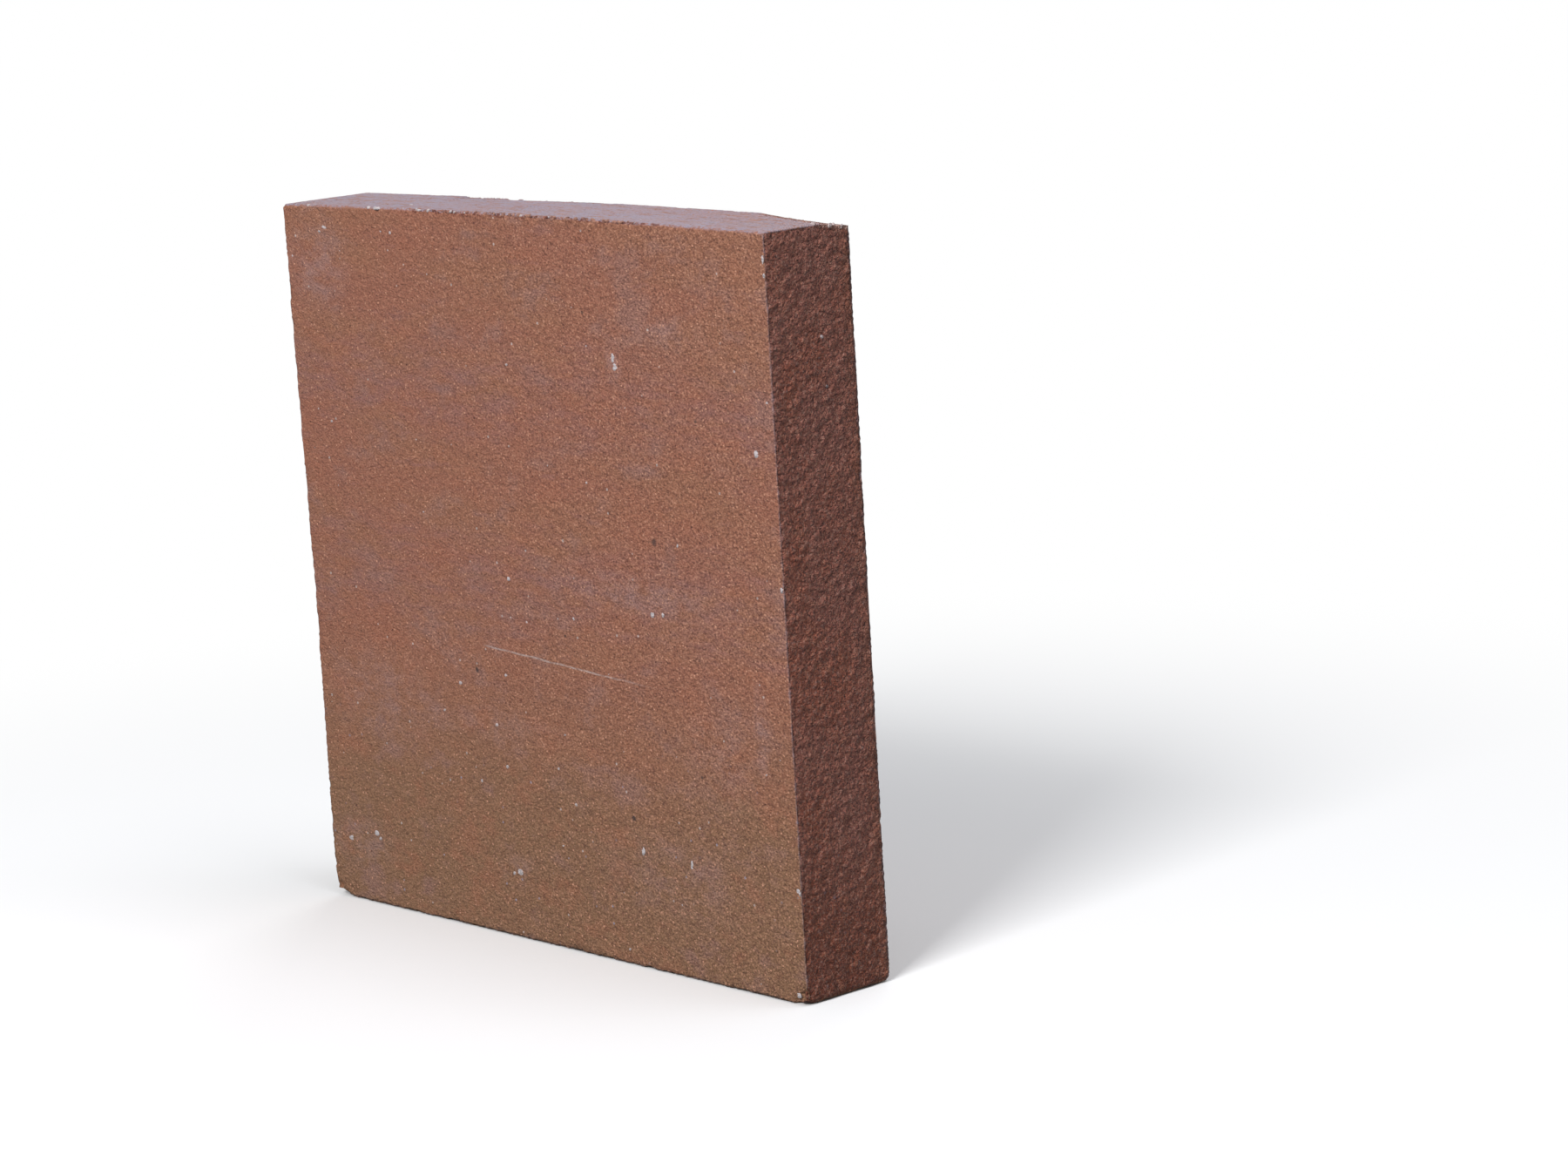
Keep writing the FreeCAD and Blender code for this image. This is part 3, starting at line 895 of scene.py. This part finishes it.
def scum_and_sheen(w, place, colour, top, arris):
    """Pale salts, thick on the wire-cut top and thin on the arrises, with clay streaks and torn pits. The
    top's lilac tint is partly a painted cool sheen, the pale arris line partly a painted highlight, and
    the dark red in the torn pits painted shade.
    """
    x, y, z = w.parts(place)
    veil = w.noise(place, 6 * MM, 4.0, 0.6, shift=0.6)
    streaks = w.noise(w.stretched(place, 0.25, 1.0, 1.0), 1.5 * MM, 3.0, 0.65, shift=3.3)
    crumbs = w.noise(place, 0.9 * MM, 2.0, 0.6, shift=3.9)
    thick = 0.70 + 0.3 * veil - 0.60 * w.fade(streaks, 0.52, 0.66) - 0.55 * w.fade(crumbs, 0.52, 0.66)
    thin_end = w.fade(x + y * 3.0, 20 * MM, 95 * MM) * 0.15
    # On the top the salts are partly real scum and partly a painted cool sheen.
    salts = mixed(w, w.fade(veil, 0.40, 0.62), SALT_AND_SHEEN, PINK_SALT_AND_SHEEN)
    colour = mixed(w, top * (thick - thin_end), colour, salts)
    # Dark red in the pits of the torn front arris of the top is painted shade.
    torn = w.fade(x, -55 * MM, -40 * MM) * w.fade(x, 85 * MM, 45 * MM) * w.fade(z, 199.0 * MM, 199.9 * MM)
    pit_shade_gaps = w.noise(w.stretched(place, 0.6, 1.0, 1.0), 1.0 * MM, 2.0, 0.6, shift=6.6)
    in_rim = w.fade(y, -13.3 * MM, -14.3 * MM)
    front_rim = w.fade(y, -12.4 * MM, -14.6 * MM) * top
    colour = mixed(w, front_rim * w.fade(crumbs, 0.46, 0.60) * 0.8, colour, RED_CLAY)
    # The pale pink line on the arrises is partly worn salts and partly a painted highlight.
    worn = w.fade(w.noise(place, 3 * MM, 3.0, 0.6, shift=1.2), 0.42, 0.62)
    colour = mixed(w, arris * (0.15 + 0.35 * worn) * (1.0 - 0.7 * front_rim), colour, PINK_SALT_AND_SHEEN)
    return mixed(w, torn * in_rim * w.fade(pit_shade_gaps, 0.52, 0.60) * 0.9, colour, TORN_PIT_SHADE)


def orange_ridge(w, place, colour, x, y, z, broken):
    """The rim of the broken top corner: fresh orange clay with pink crumbs, more of them just below."""
    crumbs = w.noise(place, 1.0 * MM, 2.0, 0.6, shift=4.9)
    rim = broken * w.fade(x, 92 * MM, 99.6 * MM) * w.fade(z, 190 * MM, 196 * MM)
    colour = mixed(w, rim * 0.7, colour, EDGE_ORANGE)
    colour = mixed(w, rim * w.fade(crumbs, 0.50, 0.60), colour, PINK_CRUMB)
    under_rim = 199.7 * MM - (y - 4 * MM) * 0.17 - z
    at_back = w.fade(x, 98 * MM, 99.4 * MM) * w.fade(y, 3 * MM, 6 * MM)
    ridge = w.fade(under_rim, 1.0 * MM, 0.3 * MM) * at_back
    return mixed(w, ridge * w.fade(crumbs, 0.46, 0.54) * 0.9, colour, PINK_CRUMB)


def scratch(w, place, colour, x, y, z):
    """One thin pale scratch across the front face, dying out to the right."""
    line = z - (81.7 * MM - (x + 22.6 * MM) * 0.058)
    wobble = (w.noise(place, 9 * MM, 2.0, shift=1.4) - 0.5) * 0.8 * MM
    thin = w.fade(w.size_of(line + wobble), 0.40 * MM, 0.10 * MM)
    along = w.fade(x, -24 * MM, -20 * MM) * w.fade(x, 52 * MM, 18 * MM)
    broken = 0.5 + 0.5 * w.fade(w.noise(place, 2.4 * MM, 2.0, shift=1.5), 0.36, 0.50)
    return mixed(w, thin * along * broken * on_front(w, y) * 0.55, colour, PALE_GROG)


# ---------------------------------------------------------------- the studio


def seen_directly(w):
    """1 for what the camera sees, straight on or in a gloss, and 0 for the light that falls on things."""
    path = w.node("ShaderNodeLightPath").outputs
    kinds = [Number(w, path[kind]) for kind in ("Is Camera Ray", "Is Glossy Ray", "Is Transmission Ray")]
    return w.most(w.most(kinds[0], kinds[1]), kinds[2])


FLOOR_SIZE = 6.0
FLOOR_PALE = (0.88, 0.88, 0.88)
FLOOR_BOUNCE = (0.25, 0.25, 0.25)
COOL_LIGHT = (0.95, 0.97, 1.0)


def pale_floor():
    """A level pale floor that keeps the tile's shadow, fades to white and throws little light back."""
    mesh = bpy.data.meshes.new("floor")
    half = FLOOR_SIZE / 2
    corners = [(-half, -half, 0), (half, -half, 0), (half, half, 0), (-half, half, 0)]
    mesh.from_pydata(corners, [], [(0, 1, 2, 3)])
    floor = bpy.data.objects.new("floor", mesh)
    bpy.context.scene.collection.objects.link(floor)
    material = bpy.data.materials.new("floor")
    material.use_nodes = True
    tree = material.node_tree
    tree.nodes.clear()
    w = Words(tree)
    place = w.node("ShaderNodeTexCoord").outputs["Object"]
    length = w.node("ShaderNodeVectorMath", operation="LENGTH", inputs={0: place})
    distance = Number(w, length.outputs["Value"])
    grey = mixed(w, seen_directly(w), FLOOR_BOUNCE, FLOOR_PALE)
    matt = w.node("ShaderNodeBsdfDiffuse", inputs={"Color": grey})
    white = w.node("ShaderNodeEmission", inputs={"Color": (1, 1, 1, 1), "Strength": 1.0})
    far = w.fade(distance, 0.14, 0.50) * seen_directly(w)
    mix = w.node("ShaderNodeMixShader")
    w.put(mix.inputs[0], far)
    w.put(mix.inputs[1], matt.outputs[0])
    w.put(mix.inputs[2], white.outputs[0])
    w.put(w.node("ShaderNodeOutputMaterial").inputs["Surface"], mix.outputs[0])
    mesh.materials.append(material)


def white_surround(strength):
    """A world that looks white and lights the tile evenly from all round."""
    world = bpy.data.worlds.new("surround")
    world.use_nodes = True
    bpy.context.scene.world = world
    w = Words(world.node_tree)
    background = world.node_tree.nodes["Background"]
    seen = seen_directly(w)
    w.put(background.inputs["Color"], mixed(w, seen, COOL_LIGHT, (1.0, 1.0, 1.0)))
    w.put(background.inputs["Strength"], w.blend(seen, strength, 1.0))


def soft_lamp(name, place, target, size, watts, colour=(1, 1, 1)):
    """A square soft box that looks at a point."""
    light = bpy.data.lights.new(name, "AREA")
    light.shape = "SQUARE"
    light.size = size
    light.energy = watts
    light.color = colour
    lamp = bpy.data.objects.new(name, light)
    look = Vector(target) - Vector(place)
    lamp.matrix_world = Matrix.Translation(place) @ look.to_track_quat("-Z", "Y").to_matrix().to_4x4()
    bpy.context.scene.collection.objects.link(lamp)


def camera():
    """A long lens at the tile's right, a little above it, tipped slightly to the left."""
    data = bpy.data.cameras.new("camera")
    data.lens = 103.05
    data.sensor_width = 36.0
    data.clip_start = 0.01
    eye = bpy.data.objects.new("camera", data)
    place = Vector((0.9221, -0.7633, 0.3201))
    heading, pitch, roll = math.radians(-47.69), math.radians(-10.71), math.radians(3.35)
    level_way = Vector((math.sin(heading), math.cos(heading), 0))
    forward = level_way * math.cos(pitch) + Vector((0, 0, math.sin(pitch)))
    level = forward.cross(Vector((0, 0, 1))).normalized()
    upright = level.cross(forward)
    right = level * math.cos(roll) - upright * math.sin(roll)
    up = level * math.sin(roll) + upright * math.cos(roll)
    turn = Matrix((right, up, -forward)).transposed().to_4x4()
    eye.matrix_world = Matrix.Translation(place) @ turn
    bpy.context.scene.collection.objects.link(eye)
    bpy.context.scene.camera = eye


# ---------------------------------------------------------------- put together


MOST_TRIANGLES = 165000  # of the tile before its grains are added


def make_tile():
    """The whole tile: worn by one tree, thinned, then given its loose grains by the other."""
    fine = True
    clay = fired_clay()
    tile_values = {
        "Width": WIDTH,
        "Thickness": THICKNESS,
        "Height": TOP - CROWN,
        "Columns": 400 if fine else 200,
        "Layers": 62 if fine else 32,
        "Crowding": 0.5,
        "Arris Radius": 0.75 * MM,
        "Arris Wear": 0.5 * MM,
        "Peel Depth": 0.5 * MM,
        "Drag Depth": 0.30 * MM,
        "Clay": clay,
    }
    bare = thinned(made_by(tile_tree(), "bare_tile", tile_values), MOST_TRIANGLES)
    grain_values = {
        "Tile": bare,
        "Seed": 7,
        "Grains per square metre": 900.0,
        "Crumbs": 90,
        "Pale Crumbs": 18,
        "Ridge Crumbs": 7,
        "Clay": clay,
    }
    tile = made_by(grains_tree(), "worn_tile", grain_values)
    bpy.data.objects.remove(bare)
    lay_out(tile)
    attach(tile, "root")
    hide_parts(NODE)


bpy.context.scene.view_settings.view_transform = "Standard"
camera()
pale_floor()
white_surround(0.30)
soft_lamp("key", (0.55, -1.5, 1.25), (0, 0, 0.1), 0.7, 36.0)
soft_lamp("over", (0.45, 0.1, 1.6), (0, 0, 0.1), 0.8, 9.0, (0.93, 0.95, 1.0))
soft_lamp("behind", (-0.9, 1.6, 0.6), (0, 0, 0.1), 1.0, 11.0)
make_tile()
